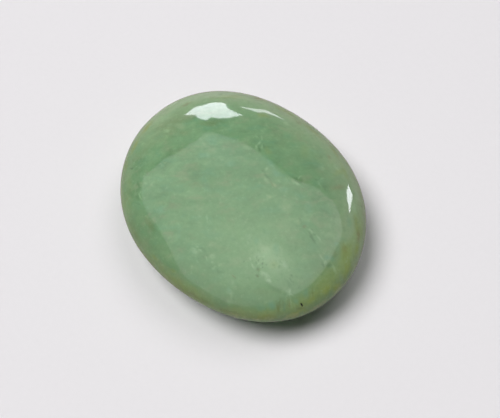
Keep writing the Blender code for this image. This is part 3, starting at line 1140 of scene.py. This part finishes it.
@dataclass
class Studio:
    """The plain pale floor and the soft light around the stone."""

    view: Viewpoint
    floor_half: float = 1.6
    floor_colour: Colour = (0.845, 0.825, 0.845)
    # Partly painted shade: the duller floor that only the polish mirrors
    mirrored_colour: Colour = (0.50, 0.42, 0.45)
    room_light: float = 0.02
    room_sheen: float = 0.42

    lamps: tuple[Lamp, ...] = (
        Lamp("key_light", -80.0, 65.0, 144.0, 2.6),
        Lamp("fill_light", 38.0, 60.0, 36.5, 2.6),
    )

    softboxes: tuple[Softbox, ...] = (
        Softbox(
            "ceiling_softbox",
            (
                (-10, 40), (-6, 41), (0, 42), (6, 44), (11, 45), (14, 46), (18, 48), (23, 49),
                (30, 50), (36, 48), (43, 43), (51, 38), (58, 34), (65, 32), (73, 31), (81, 31),
                (89, 37), (101, 39), (114, 39), (131, 38), (150, 38), (152, 48), (155, 53),
                (160, 60), (164, 64), (175, 69), (-172, 71), (-157, 71), (-145, 70), (-127, 56),
                (-120, 25), (-110, 33), (-96, 37), (-87, 30), (-82, 27), (-75, 24), (-69, 24),
                (-62, 25), (-57, 29), (-50, 36), (-38, 42), (-25, 46), (-15, 45), (-11, 42),
            ),
            1.35,
            fades=(
                0, .05, .1, .12, .14, .17, .17, .17,
                .17, .17, .15, .13, .12, .1, .1, .08,
                .04, .03, .03, .02, 0, 0, 0,
                0, 0, 0, 0, 0, 0, 0,
                0, .02, .04, .06, .08, .1, .1,
                .08, .05, .03, 0, 0, 0, 0,
            ),
        ),
        Softbox(
            "shaded_softbox",
            (
                (150, 38), (152, 48), (155, 53), (160, 60), (164, 64), (175, 69), (-172, 71),
                (-157, 71), (-145, 70), (-127, 56), (-120, 25), (-129, 8), (-139, 9), (-151, 7),
                (-163, 9), (-176, 22), (166, 34),
            ),
            1.35,
            glows=(
                .45, .45, .45, .5, .65, .85, 1, 1, 1, 1, 1, .95, .85, .7, .65, .6, .5,
            ),
        ),
        Softbox(
            "window_softbox",
            (
                (-18.7, 19.4), (-16.2, 18.3), (-14.4, 15.5), (-12.8, 13.1), (-11.5, 13.9),
                (-9.6, 14.0), (-7.8, 13.0), (-6.2, 11.3), (0.1, 12.3), (0.8, 14.5), (1.7, 19.6),
                (2.9, 22.6), (5.1, 24.7), (7.2, 25.3), (5.1, 27.3), (3.2, 29.0), (1.3, 31.3),
                (-1.8, 32.3), (-4.2, 31.7), (-5.8, 30.9), (-7.2, 31.5), (-8.1, 32.5),
                (-9.2, 32.7), (-11.0, 30.9), (-13.0, 28.1), (-13.4, 25.2), (-14.9, 23.6),
                (-17.0, 21.7),
            ),
            8.6,
            (0.90, 0.90, 1.0),
        ),
        Softbox(
            "window_strip",
            (
                (5.5, 16.0), (8.6, 14.7), (12.0, 12.2), (14.7, 7.7), (16.7, 8.1), (18.7, 8.8),
                (20.2, 9.8), (18.6, 10.5), (16.1, 12.1), (15.0, 12.2), (13.6, 14.2),
                (12.5, 17.5), (11.2, 17.2), (9.7, 17.0), (7.7, 16.5),
            ),
            5.3,
            (0.93, 0.93, 1.0),
        ),
        Softbox(
            "side_window",
            (
                (52.3, 9.2), (53.8, 9.8), (54.8, 9.4), (56.3, 9.6), (57.8, 8.9), (59.7, 12.7),
                (62.1, 17.1), (64.0, 19.3), (66.6, 21.2), (66.5, 22.8), (63.8, 22.2),
                (61.1, 21.9), (59.0, 21.3), (57.0, 20.5), (55.2, 18.2), (54.0, 14.5),
            ),
            10.0,
            (0.92, 0.92, 1.0),
        ),
    )

    def build(self) -> None:
        """Builds the floor, the softboxes, the lamps and the room's dim light."""
        self.build_floor()
        for softbox in self.softboxes:
            self.build_softbox(softbox)
        for lamp in self.lamps:
            self.build_lamp(lamp)
        self.build_room()
        bpy.context.scene.view_settings.view_transform = "Standard"

    def build_floor(self) -> None:
        """Lays a wide matt floor with the faint tooth of paper.

        The stone's polish mirrors a duller, pinker sheet in its place. It stands partly for a
        printed cloth and partly for painted shade beside the stone, so that the rim reflects
        darker.
        """
        floor = self.build_sheet("floor", 0.0, self.floor_colour)
        floor.visible_glossy = False
        mirrored = self.build_sheet("mirrored_floor", 0.02 * MM, self.mirrored_colour)
        mirrored.visible_camera = False
        mirrored.visible_diffuse = False
        mirrored.visible_shadow = False

    def build_sheet(self, name: str, height: float, colour: Colour) -> bpy.types.Object:
        """Lays one wide sheet of matt paper.

        Args:
            name: The sheet's name.
            height: Its height.
            colour: Its colour.

        Returns:
            The sheet.
        """
        mesh = bpy.data.meshes.new(name)
        half = self.floor_half
        corners = [(-half, -half), (half, -half), (half, half), (-half, half)]
        mesh.from_pydata([(*corner, height) for corner in corners], [], [(0, 1, 2, 3)])
        sheet = bpy.data.objects.new(name, mesh)
        bpy.context.scene.collection.objects.link(sheet)
        material = bpy.data.materials.new(name)
        material.use_nodes = True
        material.node_tree.nodes.clear()
        graph = Graph(material.node_tree)
        place = graph.node("ShaderNodeTexCoord").outputs["Object"]
        scaled = graph.vector("SCALE", place)
        scaled.inputs["Scale"].default_value = 1 / MM
        tooth = graph.noise(scaled.outputs["Vector"], 1.2, 3.0, 0.6)
        darker = tuple(0.97 * part for part in colour)
        shader = graph.node("ShaderNodeBsdfPrincipled")
        graph.feed(shader.inputs["Base Color"], graph.mix(tooth, colour, darker))
        shader.inputs["Roughness"].default_value = 0.55
        shader.inputs["Specular IOR Level"].default_value = 0.25
        output = graph.node("ShaderNodeOutputMaterial")
        graph.feed(output.inputs["Surface"], shader.outputs["BSDF"])
        mesh.materials.append(material)
        return sheet

    def build_softbox(self, softbox: Softbox) -> None:
        """Makes one glowing panel, seen only as light and in reflections.

        Args:
            softbox: The panel.
        """
        rings = 24
        rim = [self.view.direction(*corner) for corner in softbox.corners]
        glows = softbox.glows or (1.0,) * len(rim)
        fades = softbox.fades or (0.0,) * len(rim)
        inner = sum(glows) / len(glows)
        middle = sum(rim, Vector((0.0, 0.0, 0.0))).normalized()
        shape = bmesh.new()
        light = shape.verts.layers.float.new("light")
        centre = shape.verts.new(self.view.aim() + middle * softbox.distance)
        centre[light] = inner
        below: list[bmesh.types.BMVert] = []
        for ring in range(1, rings + 1):
            share = ring / rings
            points = []
            for corner, glow, fade in zip(rim, glows, fades):
                aimed = (middle * (1 - share) + corner * share).normalized()
                point = shape.verts.new(self.view.aim() + aimed * softbox.distance)
                left = min(1.0, (1 - share) / fade) if fade else 1.0
                point[light] = (inner * (1 - share) + glow * share) * left * left * (3 - 2 * left)
                points.append(point)
            for index, point in enumerate(points):
                after = (index + 1) % len(points)
                if below:
                    shape.faces.new((below[index], below[after], points[after], point))
                else:
                    shape.faces.new((centre, points[after], point))
            below = points
        mesh = bpy.data.meshes.new(softbox.name)
        shape.to_mesh(mesh)
        shape.free()
        panel = bpy.data.objects.new(softbox.name, mesh)
        bpy.context.scene.collection.objects.link(panel)
        mesh.materials.append(self.glow(softbox))
        panel.visible_camera = False
        panel.visible_diffuse = False
        panel.visible_shadow = False

    def glow(self, softbox: Softbox) -> bpy.types.Material:
        """Makes a softbox's glowing cloth.

        Args:
            softbox: The panel.

        Returns:
            The material.
        """
        material = bpy.data.materials.new(softbox.name)
        material.use_nodes = True
        material.node_tree.nodes.clear()
        graph = Graph(material.node_tree)
        shader = graph.node("ShaderNodeEmission")
        shader.inputs["Color"].default_value = rgba(softbox.colour)
        light = graph.node("ShaderNodeAttribute", attribute_name="light").outputs["Fac"]
        graph.feed(shader.inputs["Strength"], graph.math("MULTIPLY", light, softbox.strength))
        output = graph.node("ShaderNodeOutputMaterial")
        graph.feed(output.inputs["Surface"], shader.outputs["Emission"])
        return material

    def build_lamp(self, lamp: Lamp) -> None:
        """Hangs one soft lamp, which lights the stone and casts its shadow.

        Args:
            lamp: The lamp.
        """
        data = bpy.data.lights.new(lamp.name, "AREA")
        data.shape = "DISK"
        data.size = lamp.size
        data.energy = lamp.power
        light = bpy.data.objects.new(lamp.name, data)
        bpy.context.scene.collection.objects.link(light)
        away = self.view.direction(lamp.right, lamp.above)
        light.location = self.view.aim() + away * lamp.distance
        light.rotation_euler = (-away).to_track_quat("-Z", "Y").to_euler()
        light.visible_glossy = False

    def build_room(self) -> None:
        """Fills the room with dim even light, and shows a pale backdrop behind the floor."""
        world = bpy.data.worlds.new("room")
        bpy.context.scene.world = world
        world.use_nodes = True
        world.node_tree.nodes.clear()
        graph = Graph(world.node_tree)
        ray = graph.node("ShaderNodeLightPath").outputs
        shade = self.backdrop(graph, (1.0, 0.98, 0.97), self.room_light)
        for kind, colour, strength in (
            ("Is Glossy Ray", (0.97, 0.98, 1.0), self.room_sheen),
            ("Is Camera Ray", (0.80, 0.79, 0.80), 1.0),
        ):
            blend = graph.node("ShaderNodeMixShader")
            graph.feed(blend.inputs[0], ray[kind])
            graph.feed(blend.inputs[1], shade)
            graph.feed(blend.inputs[2], self.backdrop(graph, colour, strength))
            shade = blend.outputs[0]
        output = graph.node("ShaderNodeOutputWorld")
        graph.feed(output.inputs["Surface"], shade)

    def backdrop(self, graph: Graph, colour: Colour, strength: float) -> Socket:
        """Makes one even light for the room.

        Args:
            graph: The room's nodes.
            colour: Its colour.
            strength: Its strength.

        Returns:
            The light.
        """
        made = graph.node("ShaderNodeBackground")
        made.inputs["Color"].default_value = rgba(colour)
        made.inputs["Strength"].default_value = strength
        return made.outputs[0]


def main() -> None:
    """Builds the camera, the stone and the studio in order."""
    logging.basicConfig(level=logging.INFO, format="%(name)s: %(message)s")
    view = Viewpoint()
    view.place_camera()
    log.info("camera placed")
    stone = PalmStone().build(PolishedGreenStone())
    log.info("%s: %d faces", stone.name, len(stone.data.polygons))
    Studio(view).build()
    log.info("studio built")


if __name__ == "__main__":
    main()
